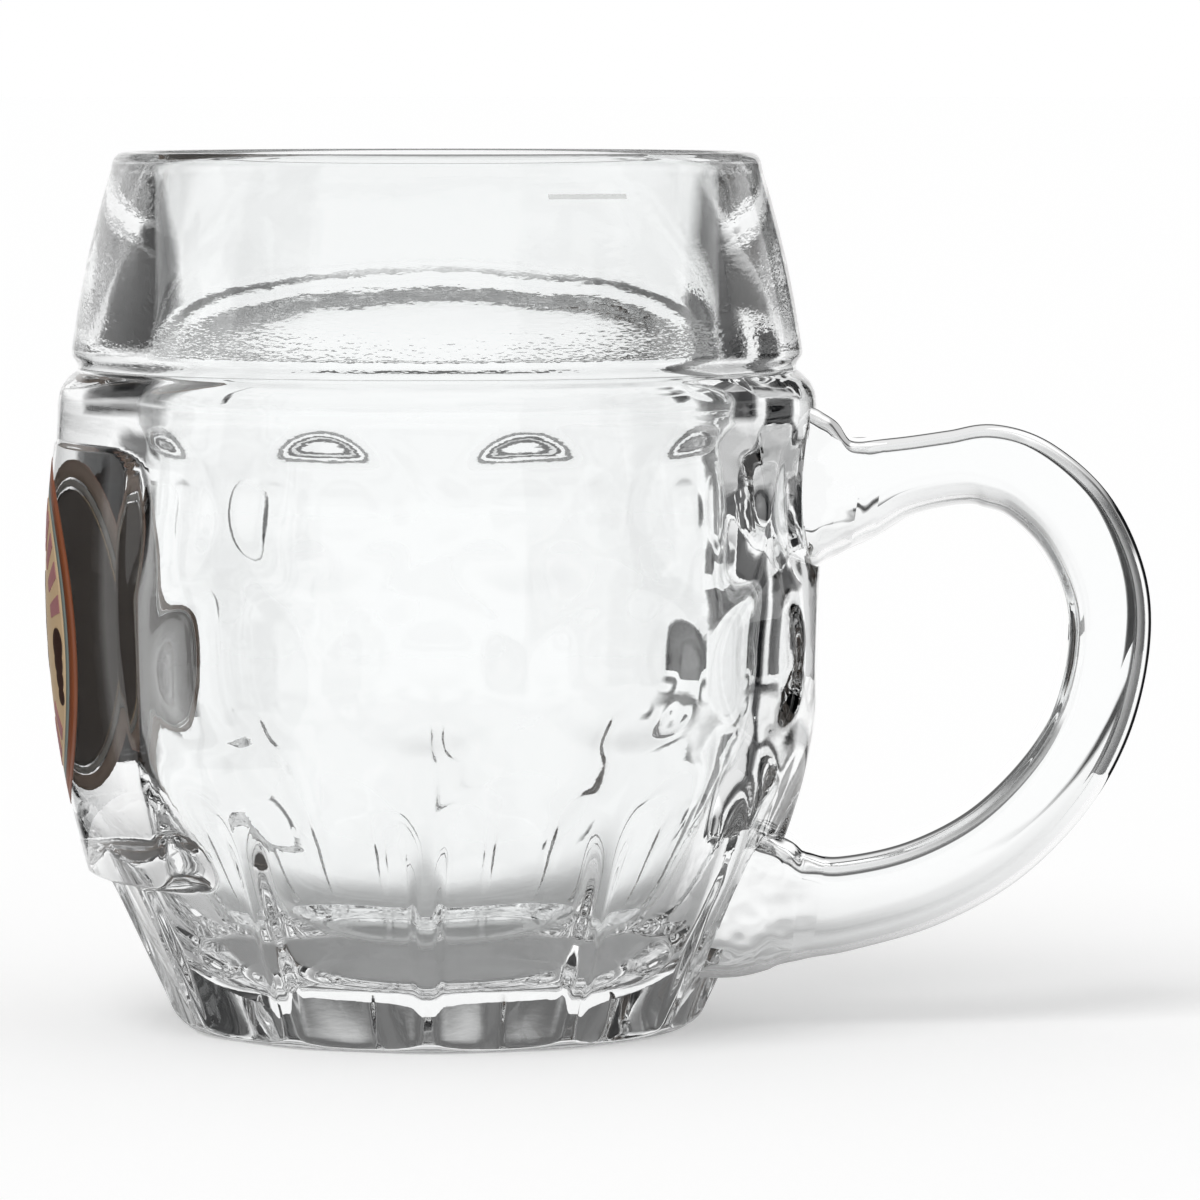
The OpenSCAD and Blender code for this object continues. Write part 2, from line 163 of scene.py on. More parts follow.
def softened(points, radius, step=0.08):
    """The line through the points, sampled evenly by length and then averaged with a bell-shaped weight
    of that radius, so that its corners become small rounds. Its two ends stay where they are."""
    points = np.vstack(points)
    keep = np.r_[True, np.hypot(*np.diff(points, axis=0).T) > 1e-9]
    points = points[keep]
    length = np.r_[0, np.cumsum(np.hypot(*np.diff(points, axis=0).T))]
    s = np.linspace(0, length[-1], int(length[-1] / step) + 1)
    line = np.c_[np.interp(s, length, points[:, 0]), np.interp(s, length, points[:, 1])]
    reach = int(3 * radius / step)
    weight = np.exp(-0.5 * (np.arange(-reach, reach + 1) * step / radius) ** 2)
    weight /= weight.sum()
    ahead = 2 * line[0] - line[reach:0:-1]
    behind = 2 * line[-1] - line[-2:-reach - 2:-1]
    padded = np.vstack([ahead, line, behind])
    return np.c_[np.convolve(padded[:, 0], weight, "valid"), np.convolve(padded[:, 1], weight, "valid")]


def rows_along(line, coarse, fine_at=(), fine=0.3, reach=1.0, per_bend=2.6, most_bend=1.4, even_out=12):
    """Picks rows along a finely sampled line. The count of rows per millimetre is one over the coarse
    step plus a share of the bend, and at least one over the fine step within reach of each height in
    fine_at. It is averaged over even_out samples to both sides and added up, and a row stands at each
    whole number."""
    step = np.hypot(*np.diff(line, axis=0).T)
    s = np.r_[0, np.cumsum(step)]
    way = np.arctan2(*np.diff(line, axis=0).T[::-1])
    bend = np.abs(np.diff(np.unwrap(way))) / step[1:]
    bend = np.r_[bend[0], bend, bend[-1]]
    rate = 1 / coarse + per_bend * np.minimum(bend, most_bend)
    for z in fine_at:
        rate = np.maximum(rate, np.exp(-((line[:, 1] - z) / reach) ** 4) / fine)
    span = 2 * even_out + 1
    rate = np.convolve(np.pad(rate, even_out, "edge"), np.full(span, 1 / span), "valid")
    count = np.r_[0, np.cumsum((rate[1:] + rate[:-1]) / 2 * step)]
    picks = np.interp(np.linspace(0, count[-1], int(round(count[-1])) + 1), count, s)
    return np.c_[np.interp(picks, s, line[:, 0]), np.interp(picks, s, line[:, 1])]


FOOT_LINE = softened([
    arc((DISH_R, 0), (0, DISH_H), DISH_RISE)[::-1],
    [(FOOT_R, 0)]], FOOT_SOFT)
SIDE_LINE = softened([
    [(FOOT_R, 0)],
    arc((FOOT_R, 0), (HEEL_R, HEEL_Z), HEEL_RISE),
    arc((TAPER_R, TAPER_Z), (KNUCKLE_R, KNUCKLE_Z), TURN_BOW),
    arc((KNUCKLE_R, KNUCKLE_Z), (SHOULDER_R, SHOULDER_Z), BELLY_BOW),
    arc((SHOULDER_R, SHOULDER_Z), (GROOVE_R, BAND_Z - GROOVE_STEP - GROOVE_FLAT), SHOULDER_RISE),
    [(GROOVE_R, BAND_Z - GROOVE_STEP)],
    arc((BAND_R, BAND_Z), (RIM_R, MUG_H - RIM_ROUND), BAND_BOW),
    arc((RIM_R, MUG_H - RIM_ROUND), (RIM_MID_R, MUG_H), RIM_RISE)], SIDE_SOFT)
BORE_LINE = softened([
    arc((RIM_IN_R, MUG_H - RIM_ROUND), (RIM_MID_R, MUG_H), -RIM_RISE)[::-1],
    softened([
        [(RIM_IN_R, MUG_H - RIM_ROUND)],
        arc((BORE_BELLY_R, BORE_BELLY_Z), (BORE_BAND_R, BAND_Z), BORE_HIGH_RISE)[::-1],
        arc((BORE_LOW_R, TURN_Z), (BORE_BELLY_R, BORE_BELLY_Z), BORE_LOW_RISE)[::-1],
        arc((FLOOR_R, FLOOR_Z), (BORE_LOW_R, TURN_Z), FLOOR_RISE)[::-1],
        [(0, FLOOR_Z)]], BORE_SOFT)], RIM_SOFT)
PAD_LINE = arc((PAD_LOW_R, PAD_LOW_Z), (PAD_TOP_R, PAD_TOP_Z), PAD_BOW, 200)


def side_r(z):
    """Radius of the blank's side at a height."""
    return np.interp(z, SIDE_LINE[:, 1], SIDE_LINE[:, 0])


def pad_r(z):
    """Radius of the pad's face at a height, on its arc, and going on level past both edges."""
    return np.interp(z, PAD_LINE[:, 1], PAD_LINE[:, 0])


def bowed_r(z, low, high, bow):
    """Radius at a height between two points (radius, height) of the blank: the straight line from low to
    high plus a parabola that is as high as the bow in the middle."""
    s = (z - low[1]) / (high[1] - low[1])
    return low[0] + s * (high[0] - low[0]) + 4 * bow * s * (1 - s)


# Dimples, pad and the bowl's outside

def softer_min(a, b, soft):
    """The smaller of a and b, with the crease between them rounded over a difference of soft. It is
    b + (a - b) h - soft h (1 - h), where h goes from 0 to 1 as b - a goes from -soft to soft. A b far
    above a is first brought near it, so that no digits are lost."""
    b = np.minimum(b, a + 4 * soft)
    h = np.clip(0.5 + 0.5 * (b - a) / soft, 0, 1)
    return b + (a - b) * h - soft * h * (1 - h)


def softer_max(a, b, soft):
    """The larger of a and b, with the crease between them rounded over a difference of soft."""
    return -softer_min(-a, -b, soft)


def smooth(share):
    """A share held between 0 and 1 that starts and ends level: 3 s^2 - 2 s^3."""
    s = np.clip(share, 0, 1)
    return s**2 * (3 - 2 * s)


def around(phi, first, last):
    """Angle from phi to the nearest dimple centre of a row that stands at first, first + pitch, ... on
    both sides of the handle, up to last."""
    turn = np.abs((phi + math.pi) % (2 * math.pi) - math.pi)
    nearest = np.clip(np.round((turn - first) / PITCH) * PITCH + first, first, last)
    return turn - nearest


def eye_r(delta, z, eye_z):
    """Radius at which a round dimple's surface stands. The cutter is an upright wheel outside the mug,
    whose edge is bent by one circle around and another up and down. On a ray at angle delta from the
    dimple's middle, its near side is c cos(delta) - sqrt(R(z)^2 - c^2 sin(delta)^2), with the wheel at a
    distance c."""
    r = bowed_r(eye_z, (KNUCKLE_R, KNUCKLE_Z), (SHOULDER_R, SHOULDER_Z), BELLY_BOW)
    across = over_chord(EYE_W, EYE_DEPTH - r * (1 - math.cos(math.asin(EYE_W / 2 / r))))
    along = over_chord(EYE_H, EYE_DEPTH)
    c = r - EYE_DEPTH + across
    dz = np.clip(z - eye_z, -EYE_H, EYE_H)
    edge = across - along + np.sqrt(along**2 - dz**2)
    inside = edge**2 - (c * np.sin(delta)) ** 2
    near = c * np.cos(delta) - np.sqrt(np.maximum(inside, 0))
    far_off = (inside <= 0) | (np.abs(z - eye_z) > EYE_H) | (np.abs(delta) > PITCH)
    return np.where(far_off, UNCUT, near)


def petal_r(delta, z, halvings=26):
    """Radius at which a long dimple's surface stands. The cutter is a barrel that leans out with the
    taper, and the radius where the ray at angle delta enters it is found by halving an interval."""
    base = bowed_r(PETAL_Z, (TAPER_R, TAPER_Z), (KNUCKLE_R, KNUCKLE_Z), TURN_BOW)
    base -= PETAL_DEPTH / math.cos(PETAL_LEAN)
    cos_lean, sin_lean = math.cos(PETAL_LEAN), math.sin(PETAL_LEAN)

    def clear(r):
        """How far a point of the ray stands outside the barrel."""
        x, y, rise = r * np.cos(delta) - base, r * np.sin(delta), z - PETAL_Z
        out = cos_lean * x - sin_lean * rise - PETAL_ROUND
        up = sin_lean * x + cos_lean * rise
        return np.hypot(out, y) - (PETAL_ROUND - PETAL_SWEEP + np.sqrt(PETAL_SWEEP**2 - up**2))

    shape = np.broadcast(delta, z).shape
    low, high = np.full(shape, SEEK_FROM), np.full(shape, SEEK_TO)
    never = clear(high) > 0
    for _ in range(halvings):
        middle = (low + high) / 2
        out = clear(middle) > 0
        low, high = np.where(out, middle, low), np.where(out, high, middle)
    return np.where(never | (z > PETAL_END_Z), UNCUT, high)


def pad_edge_r(phi, z):
    """Radius of the pad as a raised plate: its face, cut by upright sides a set width apart with rounded
    corners, and by ledges above and below that slope a little, as they must to leave a mould."""
    middle, half_h = (PAD_LOW_Z + PAD_TOP_Z) / 2, (PAD_TOP_Z - PAD_LOW_Z) / 2
    past = np.clip(np.abs(z - middle) - (half_h - PAD_CORNER), 0, PAD_CORNER)
    half_w = PAD_HALF_W - PAD_CORNER + np.sqrt(np.maximum(PAD_CORNER**2 - past**2, 0))
    sideways = np.maximum(np.abs(np.sin(phi)), 1e-6)
    plate = softer_min(pad_r(z), half_w / sideways, PAD_SIDE_SOFT)
    plate = np.where(np.cos(phi) < 0, plate, 0.0)
    beyond = np.maximum(np.maximum(PAD_LOW_Z - z, z - PAD_TOP_Z), 0)
    return plate - LEDGE_FALL * beyond


def unevenness(phi, z, most, wavy):
    """The slow waves that hot glass keeps after pressing, in millimetres: a sum of sines around and up
    the mug, which fade in and out between the four heights of wavy."""
    waves = sum(share * np.sin(turns * phi + z / radian + start) for turns, radian, start, share in WAVES)
    return most * waves / sum(wave[3] for wave in WAVES) * np.interp(z, wavy, (0, 1, 1, 0))


def outside_r(phi, r, z):
    """Radius of the bowl's outside at angle phi on the profile point (r, z): the profile, cut by the
    dimples with fire-polished creases, with the pad laid over them. The long dimples' depth is taken back
    to nothing at the ribs, and low down a step of it stays beside each rib's flat top."""
    delta = around(phi, PITCH / 2, PETAL_LAST)
    depth = np.maximum(r - softer_min(r, petal_r(delta, z), PETAL_SOFT), 0)
    low_down = smooth((RIB_TOP_Z - z) / RIB_FADE)
    depth = depth + low_down * RIB_STEP * (1 - np.exp(-depth / RIB_STEP))
    from_rib = r * np.abs(PITCH / 2 - np.abs(delta)) - RIB_HALF * low_down
    out = r - depth * smooth(from_rib / (RIB_SIDE + RIB_SPREAD * (1 - low_down)))
    out = softer_min(out, eye_r(around(phi, PITCH / 2, EYE_HIGH_LAST), z, EYE_HIGH_Z), EYE_SOFT)
    out = softer_min(out, eye_r(around(phi, PITCH, EYE_LOW_LAST), z, EYE_LOW_Z), EYE_SOFT)
    out = out + unevenness(phi, z, WAVE_OUT, WAVY_OUT)
    return softer_max(out, pad_edge_r(phi, z), PAD_SOFT)


# Meshes

def mesh(name, points, faces, smooth_faces=True):
    """A mesh object from points in millimetres and arrays of faces, riding on the mug's one body."""
    data = bpy.data.meshes.new(name)
    data.from_pydata((points * MM).tolist(), [], sum((f.tolist() for f in faces), []))
    data.polygons.foreach_set("use_smooth", np.full(len(data.polygons), smooth_faces))
    data.update()
    obj = bpy.data.objects.new(name, data)
    bpy.context.scene.collection.objects.link(obj)
    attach(obj, "root")
    return obj


def dress(obj, marked, first, second):
    """Gives a piece two materials: the second on the marked faces, and the first on the others."""
    obj.data.materials.append(first)
    obj.data.materials.append(second)
    obj.data.polygons.foreach_set("material_index", marked)


def quads(rows, cols, start=0, closed=True):
    """Faces of a grid of points whose rows run around. Each joins the points (i, j), (i, j+1), (i+1, j+1)
    and (i+1, j)."""
    last = cols if closed else cols - 1
    i, j = np.meshgrid(np.arange(rows - 1), np.arange(last), indexing="ij")
    k = (j + 1) % cols
    corners = [i * cols + j, i * cols + k, (i + 1) * cols + k, (i + 1) * cols + j]
    return np.stack(corners, -1).reshape(-1, 4) + start


def turned(r, phi, z):
    """Points at radius r, angle phi and height z, as rows of x, y, z."""
    r, phi, z = np.broadcast_arrays(r, phi, z)
    return np.stack([r * np.cos(phi), r * np.sin(phi), z], -1).reshape(-1, 3)


def handle_line(steps):
    """The handle's middle line with its thickness and width: a smooth curve through the stations, each
    stretch being (2b + (c-a)t + (2a-5b+4c-d)t^2 + (3b-a-3c+d)t^3) / 2 between b and c."""
    s = np.array(HANDLE_SHARES) * (HANDLE_X, HANDLE_Z, HANDLE_T, HANDLE_W)
    a, b, c, d = s[np.r_[0, 0:len(s) - 2]], s[:-1], s[1:], s[np.r_[2:len(s), len(s) - 1]]
    t = (np.arange(steps) / steps)[None, :, None]
    a, b, c, d = (v[:, None, :] for v in (a, b, c, d))
    curve = (2 * b + (c - a) * t + (2 * a - 5 * b + 4 * c - d) * t**2 + (3 * b - a - 3 * c + d) * t**3) / 2
    return np.vstack([curve.reshape(-1, 4), s[-1]])


def way_along(line):
    """Direction of the handle's middle line at each of its points, as (x, z) of length 1."""
    way = np.gradient(line[:, :2], axis=0)
    return way / np.hypot(*way.T)[:, None]


def handle_section(t, w, corner=8, flat_t=3, flat_w=6):
    """The handle's section as (out, across) pairs per station: a rectangle whose corners are quarter
    circles, smaller on the outer side than on the finger side, with a few points along its flats."""
    rings = []
    quarter = np.linspace(0, math.pi / 2, corner + 1)
    for side_t, side_w, edge, start, flat in ((1, 1, EDGE_OUT, 0, flat_t), (-1, 1, EDGE_IN, 1, flat_w),
                                              (-1, -1, EDGE_IN, 2, flat_t), (1, -1, EDGE_OUT, 3, flat_w)):
        a = quarter + start * math.pi / 2
        out = side_t * (t[:, None] / 2 - edge) + edge * np.cos(a)
        across = side_w * (w[:, None] / 2 - edge) + edge * np.sin(a)
        rings.append((out, across, flat))
    parts_out, parts_across = [], []
    for k, (out, across, flat) in enumerate(rings):
        next_out, next_across, _ = rings[(k + 1) % 4]
        u = (np.arange(1, flat + 1) / (flat + 1))[None, :]
        parts_out += [out, out[:, -1:] + (next_out[:, :1] - out[:, -1:]) * u]
        parts_across += [across, across[:, -1:] + (next_across[:, :1] - across[:, -1:]) * u]
    return np.hstack(parts_out), np.hstack(parts_across)


def inside_handle(points):
    """How far each point lies inside the bar of the handle, in millimetres, negative outside: the
    distance to the rounded rectangle at the nearest place of the middle line."""
    line = handle_line(12)
    way = way_along(line)
    gap = points[:, None, (0, 2)] - line[None, :, :2]
    near = np.argmin((gap**2).sum(-1), axis=1)
    gap = gap[np.arange(len(points)), near]
    out = np.abs(-gap[:, 0] * way[near, 1] + gap[:, 1] * way[near, 0]) - line[near, 2] / 2
    across = np.abs(points[:, 1]) - line[near, 3] / 2
    edge = (EDGE_IN + EDGE_OUT) / 2
    corner = np.hypot(np.maximum(out + edge, 0), np.maximum(across + edge, 0)) - edge
    return -np.where((out > -edge) & (across > -edge), corner, np.maximum(out, across))


def bowl_faces(outer_rows, inner_rows, cols):
    """Faces of the bowl: the fan under the foot, the outside, the stitches over the rim, which join two
    columns of the outside to one of the bore, the bore, and the fan of its floor."""
    j, half = np.arange(cols), cols // 2
    k = np.arange(half)
    rim, first = 1 + (outer_rows - 1) * cols, 1 + outer_rows * cols
    last = first + (inner_rows - 1) * half
    fan = np.c_[np.zeros(cols, int), 1 + (j + 1) % cols, 1 + j]
    a, b, c = rim + 2 * k, rim + 2 * k + 1, rim + (2 * k + 2) % cols
    d, e = first + k, first + (k + 1) % half
    stitch = np.vstack([np.c_[a, b, d], np.c_[b, e, d], np.c_[b, c, e]])
    floor_fan = np.c_[np.full(half, last + half), last + k, last + (k + 1) % half]
    return fan, quads(outer_rows, cols, 1), stitch, quads(inner_rows, half, first), floor_fan


def make_bowl(glass, joint, cols=480, crowding=0.4):
    """The bowl as one closed surface of angle and profile: under the foot, up the outside, over the rim,
    and down the bore with half as many columns, closed at both middles by fans. Columns stand closer
    together at the ribs: with n ribs, the angle is a - crowding sin(n a) / n of an even turn a. Faces of
    the outside that lie inside the handle's bar take the joint's material."""
    foot = rows_along(FOOT_LINE, FOOT_ROW)[1:]
    side = rows_along(SIDE_LINE, SIDE_ROW, (PAD_LOW_Z, PAD_TOP_Z), LEDGE_ROW, LEDGE_REACH)[1:]
    bore = rows_along(BORE_LINE, BORE_ROW)[1:-1]
    even = np.linspace(0, 2 * math.pi, cols, endpoint=False)[None, :]
    phi = even - crowding / RIBS * np.sin(RIBS * even)
    half = phi[:, ::2]
    r, z = side[:, :1], side[:, 1:]
    out = outside_r(phi, r, np.broadcast_to(z, (len(side), cols)))
    wave = unevenness(-half, bore[:, 1:], WAVE_IN, WAVY_IN)
    points = np.vstack([
        [(0, 0, DISH_H)], turned(foot[:, :1], phi, foot[:, 1:]), turned(out, phi, z),
        turned(bore[:, :1] + wave, half, bore[:, 1:]), [(0, 0, FLOOR_Z)]])
    faces = bowl_faces(len(foot) + len(side), len(bore), cols)
    obj = mesh("moulded_bowl", points, faces)
    fan, outer = faces[:2]
    near = (points[:, 0] > ROOT_X) & (np.abs(points[:, 1]) < ROOT_HALF_W)
    depth = np.full(len(points), -1.0)
    depth[near] = inside_handle(points[near])
    fused = np.zeros(len(obj.data.polygons), int)
    fused[len(fan):len(fan) + len(outer)] = (depth[outer] > FUSED_DEPTH).all(1)
    dress(obj, fused, glass, joint)
    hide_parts("bowl")


def make_handle(glass, joint):
    """The handle as a closed bar: its rounded section carried square along the middle line from root to
    root. Both ends run on into the bowl's wall, where the joint's material makes the two glasses one."""
    line = handle_line(10)
    out, across = handle_section(line[:, 2], line[:, 3])
    way = way_along(line)
    x = line[:, :1] - way[:, 1:] * out
    z = line[:, 1:2] + way[:, :1] * out
    rows, cols = x.shape
    points = np.stack([x, across, z], -1).reshape(-1, 3)
    points = np.vstack([points, (line[0, 0], 0, line[0, 1]), (line[-1, 0], 0, line[-1, 1])])
    k = np.arange(cols)
    n, end = (k + 1) % cols, (rows - 1) * cols
    faces = [quads(rows, cols), np.c_[np.full(cols, rows * cols), n, k],
             np.c_[np.full(cols, rows * cols + 1), end + k, end + n]]
    obj = mesh("handle_bar", points, faces)
    wall = outside_r(np.arctan2(points[:, 1], points[:, 0]), side_r(points[:, 2]), points[:, 2])
    sunk = np.hypot(points[:, 0], points[:, 1]) < wall
    dress(obj, np.hstack([sunk[f].all(1) for f in faces]).astype(int), glass, joint)
    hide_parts("handle")


def on_pad(y, z, lift):
    """Points on the pad's face at a sideways place y and height z, lifted off it by lift."""
    x = -np.sqrt((pad_r(z) + lift) ** 2 - y**2)
    return np.stack([x, y, z], -1).reshape(-1, 3)


def print_shell(name, node, inner, outer, front, back, cols=144, row=0.8, hub=0.4):
    """A round print between two radii about the print's middle, as a closed shell that follows the pad:
    its back lies just inside the glass, which it is fired into, and its front stands one coat of ink
    proud. A full disc's rows end at a small hub, which fans close. The back's faces, which only the glass
    side sees, take the back's material."""
    turn = np.linspace(0, 2 * math.pi, cols, endpoint=False)[None, :]
    rows = max(3, int((outer - inner) / row))
    reach = np.linspace(outer, max(inner, hub), rows)[:, None]
    y, z = reach * np.cos(turn), PRINT_Z + reach * np.sin(turn)
    sunk = on_pad(y, z, -INK_SUNK).reshape(rows, cols, 3)[::-1].reshape(-1, 3)
    points = [on_pad(y, z, INK), sunk]
    j = np.arange(cols)
    k = (j + 1) % cols
    front_in, back_in, last, end = (rows - 1) * cols, rows * cols, (2 * rows - 1) * cols, 2 * rows * cols
    faces = [quads(rows, cols), quads(rows, cols, back_in), np.c_[last + j, last + k, k, j]]
    on_back = [0, 1, 0]
    if inner > 0:
        faces.append(np.c_[front_in + j, front_in + k, back_in + k, back_in + j])
        on_back.append(0)
    else:
        points += [on_pad(np.zeros(1), np.full(1, PRINT_Z), lift) for lift in (INK, -INK_SUNK)]
        faces.append(np.c_[front_in + j, front_in + k, np.full(cols, end)])
        faces.append(np.c_[back_in + k, back_in + j, np.full(cols, end + 1)])
        on_back += [0, 1]
    obj = mesh(name, np.vstack(points), faces)
    dress(obj, np.repeat(on_back, [len(f) for f in faces]), front, back)
    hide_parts(node)


def make_fill_line(coat, cols=25):
    """The measuring line: a short shell that follows the lip band, from just inside the glass to a coat
    proud of it, closed at its two ends."""
    phi = FILL_AT + np.linspace(-0.5, 0.5, cols)[None, :] * FILL_LEN / side_r(FILL_Z)
    z = FILL_Z + np.array([-0.5, 0.5, 0.5, -0.5])[:, None] * FILL_W
    lift = np.array([INK, INK, -INK_SUNK, -INK_SUNK])[:, None]
    points = turned(side_r(z) + unevenness(phi, z, WAVE_OUT, WAVY_OUT) + lift, phi, z)
    j = np.arange(cols - 1)
    i = np.arange(4)[:, None]
    n = (i + 1) % 4
    sides = np.stack([i * cols + j, i * cols + j + 1, n * cols + j + 1, n * cols + j], -1).reshape(-1, 4)
    ends = np.array([[0, 1, 2, 3], [4, 3, 2, 1]]) * cols - [[0], [1]]
    obj = mesh("measuring_line", points, [sides, ends], smooth_faces=False)
    obj.data.materials.append(coat)
    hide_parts("fill_line")


# Materials

# Skin of the glass, in millimetres: length and depth of the slow waves, length of the ripple, and how
# softly a stretch of rougher skin begins and ends
SLOW_WAVE, SLOW_DEPTH, RIPPLE, SKIN_FADE = 9.0, 0.02, 2.2, 3.0

# Rougher skin: on the bowl between two heights, just above the groove, and on the bar between two
# distances from the mug's axis, along a line that leans with the wall
SKIN_LOW_Z, SKIN_TOP_Z = 94.6, 102.0
ROOT_NEAR, ROOT_FAR, ROOT_LEAN = 20.0, 52.0, -0.145

# Fired enamel, in millimetres: width of the clouds, width of the specks, which are coarser than real ones
# so that they show, and the specks' depth
CLOUD, SPECK, SPECK_DEPTH = 5.0, 0.35, 0.012


def srgb(text):
    """An sRGB hex colour as linear values."""
    v = np.array([int(text[i:i + 2], 16) for i in (1, 3, 5)]) / 255
    v = np.where(v <= 0.04045, v / 12.92, ((v + 0.055) / 1.055) ** 2.4)
    return (*v.tolist(), 1.0)


def add(tree, kind, settings=None, **links):
    """Adds a node of a kind with its settings, and links or sets its inputs, by name or by number as in
    i0=value."""
    node = tree.nodes.new(kind)
    for key, value in (settings or {}).items():
        setattr(node, key, value)
    for key, value in links.items():
        by_number = key[0] == "i" and key[1:].isdigit()
        socket = node.inputs[int(key[1:]) if by_number else key.replace("_", " ")]
        if isinstance(value, bpy.types.NodeSocket):
            tree.links.new(value, socket)
        else:
            socket.default_value = value
    return node


def new_material(name):
    """An empty node material, its tree and its output node."""
    m = bpy.data.materials.new(name)
    m.use_nodes = True
    m.node_tree.nodes.clear()
    return m, m.node_tree, m.node_tree.nodes.new("ShaderNodeOutputMaterial")


def moulded_glass(name, ripple, squeeze, along, low, high, grain, depth):
    """Soda-lime glass, pressed or bent hot and fire-polished: clear, with a skin that is smooth but not
    flat, so straight lines seen through it waver. Slow waves and a ripple of a depth, squeezed along some
    axes, cover it all. From low to high along a direction it is rougher, with a grain and a depth: the
    pressed skin above the groove, or the crinkles where the hot bar was pushed on."""
    m, t, out = new_material(name)
    place = add(t, "ShaderNodeTexCoord").outputs["Object"]
    squeezed = add(t, "ShaderNodeMapping", Vector=place, Scale=squeeze).outputs[0]
    slow = add(t, "ShaderNodeTexNoise", Vector=place, Scale=1 / (SLOW_WAVE * MM), Detail=2.0)
    quick = add(t, "ShaderNodeTexNoise", Vector=squeezed, Scale=1 / (RIPPLE * MM), Detail=2.0)
    waves = add(t, "ShaderNodeBump", Height=slow.outputs[0], Strength=1.0, Distance=SLOW_DEPTH * MM)
    ripples = add(t, "ShaderNodeBump", Height=quick.outputs[0], Strength=1.0, Distance=ripple * MM,
                  Normal=waves.outputs[0])
    at = add(t, "ShaderNodeVectorMath", {"operation": "DOT_PRODUCT"}, i0=place, i1=along).outputs["Value"]
    start = add(t, "ShaderNodeMapRange", Value=at, From_Min=low * MM, From_Max=(low + SKIN_FADE) * MM)
    end = add(t, "ShaderNodeMapRange", Value=at, From_Min=high * MM, From_Max=(high - SKIN_FADE) * MM)
    there = add(t, "ShaderNodeMath", {"operation": "MULTIPLY"}, i0=start.outputs[0], i1=end.outputs[0])
    fine = add(t, "ShaderNodeTexNoise", Vector=squeezed, Scale=1 / (grain * MM), Detail=1.0)
    height = add(t, "ShaderNodeMath", {"operation": "MULTIPLY"}, i0=there.outputs[0], i1=fine.outputs[0])
    skin = add(t, "ShaderNodeBump", Height=height.outputs[0], Strength=1.0, Distance=depth * MM,
               Normal=ripples.outputs[0])
    glass = add(t, "ShaderNodeBsdfPrincipled", Base_Color=srgb("#fdfefe"), Roughness=0.0, IOR=1.52,
                Transmission_Weight=1.0, Normal=skin.outputs[0])
    t.links.new(glass.outputs[0], out.inputs["Surface"])
    return m


def fused_glass():
    """The joint inside the glass, where bowl and handle were welded hot: no surface is left to see."""
    m, t, out = new_material("fused_glass_joint")
    t.links.new(add(t, "ShaderNodeBsdfTransparent").outputs[0], out.inputs["Surface"])
    return m


def fired_enamel(name, thin, deep, light_through=0.0):
    """Screen-printed ceramic enamel, fired on: a satin, slightly grainy film, with clouds where the coat
    is deep, and specks. A worn coat lets a share of the light through its pinholes."""
    m, t, out = new_material(name)
    place = add(t, "ShaderNodeTexCoord").outputs["Object"]
    cloud = add(t, "ShaderNodeTexNoise", Vector=place, Scale=1 / (CLOUD * MM), Detail=5.0)
    speck = add(t, "ShaderNodeTexNoise", Vector=place, Scale=1 / (SPECK * MM), Detail=2.0)
    mix = add(t, "ShaderNodeMix", {"data_type": "RGBA"}, i0=cloud.outputs[0], i6=srgb(thin), i7=srgb(deep))
    rough = add(t, "ShaderNodeMapRange", Value=speck.outputs[0], To_Min=0.32, To_Max=0.5)
    bump = add(t, "ShaderNodeBump", Height=speck.outputs[0], Strength=1.0, Distance=SPECK_DEPTH * MM)
    film = add(t, "ShaderNodeBsdfPrincipled", Base_Color=mix.outputs[2], Roughness=rough.outputs[0],
               Normal=bump.outputs[0])
    if light_through:
        pinholes = add(t, "ShaderNodeBsdfTransparent")
        film = add(t, "ShaderNodeMixShader", i0=light_through, i1=film.outputs[0], i2=pinholes.outputs[0])
    t.links.new(film.outputs[0], out.inputs["Surface"])
    return m


# The mug

glass = moulded_glass("moulded_soda_lime_glass", ripple=0.0035, squeeze=(1, 1, 3), along=(0, 0, 1),
                      low=SKIN_LOW_Z, high=SKIN_TOP_Z, grain=1.2, depth=0.02)
bar_glass = moulded_glass("bent_bar_glass", ripple=0.002, squeeze=(1, 1, 1), along=(1, 0, ROOT_LEAN),
                          low=ROOT_NEAR, high=ROOT_FAR, grain=5.0, depth=0.9)
joint = fused_glass()
make_bowl(glass, joint)
make_handle(bar_glass, joint)

# Round prints: CAD node, inner and outer radius, name of the colour, its shades where the coat is thin
# and deep, and the greyer shades of its back, which shows through the glass
ROUND_PRINTS = {
    "print_field": ("emblem_field", 0, FIELD_R, "sand", "#cdb48f", "#bfa27d", "#6f6761", "#625a54"),
    "print_line": ("emblem_line", LINE_IN_R, LINE_R, "grey", "#77837f", "#66726e", "#b9b4ae", "#aaa59f"),
    "print_ring": ("emblem_ring", RING_IN_R, PRINT_R, "rust", "#8d4a22", "#743a1a", "#b6a294", "#a59183")}
for piece, (node, inner, outer, colour, thin, deep, back_thin, back_deep) in ROUND_PRINTS.items():
    front = fired_enamel(f"fired_enamel_{piece}", thin, deep)
    back = fired_enamel(f"back_of_{colour}_enamel", back_thin, back_deep)
    print_shell(piece, node, inner, outer, front, back)

make_fill_line(fired_enamel("fired_enamel_measuring_line", "#f4f5f3", "#eceeeb", light_through=0.68))

# The artwork's two colours are the CAD's own pieces and only get their coats
ARTWORK = {"emblem_rays": ("#ab7678", "#9a6668"), "emblem_ear": ("#3f2419", "#2f1a12")}
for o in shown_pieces():
    if o.name in ARTWORK:
        o.data.materials.clear()
        o.data.materials.append(fired_enamel(f"fired_enamel_{o.name}", *ARTWORK[o.name]))

# Stage, light and camera, in metres. A bearing is in degrees from +Y towards +X.

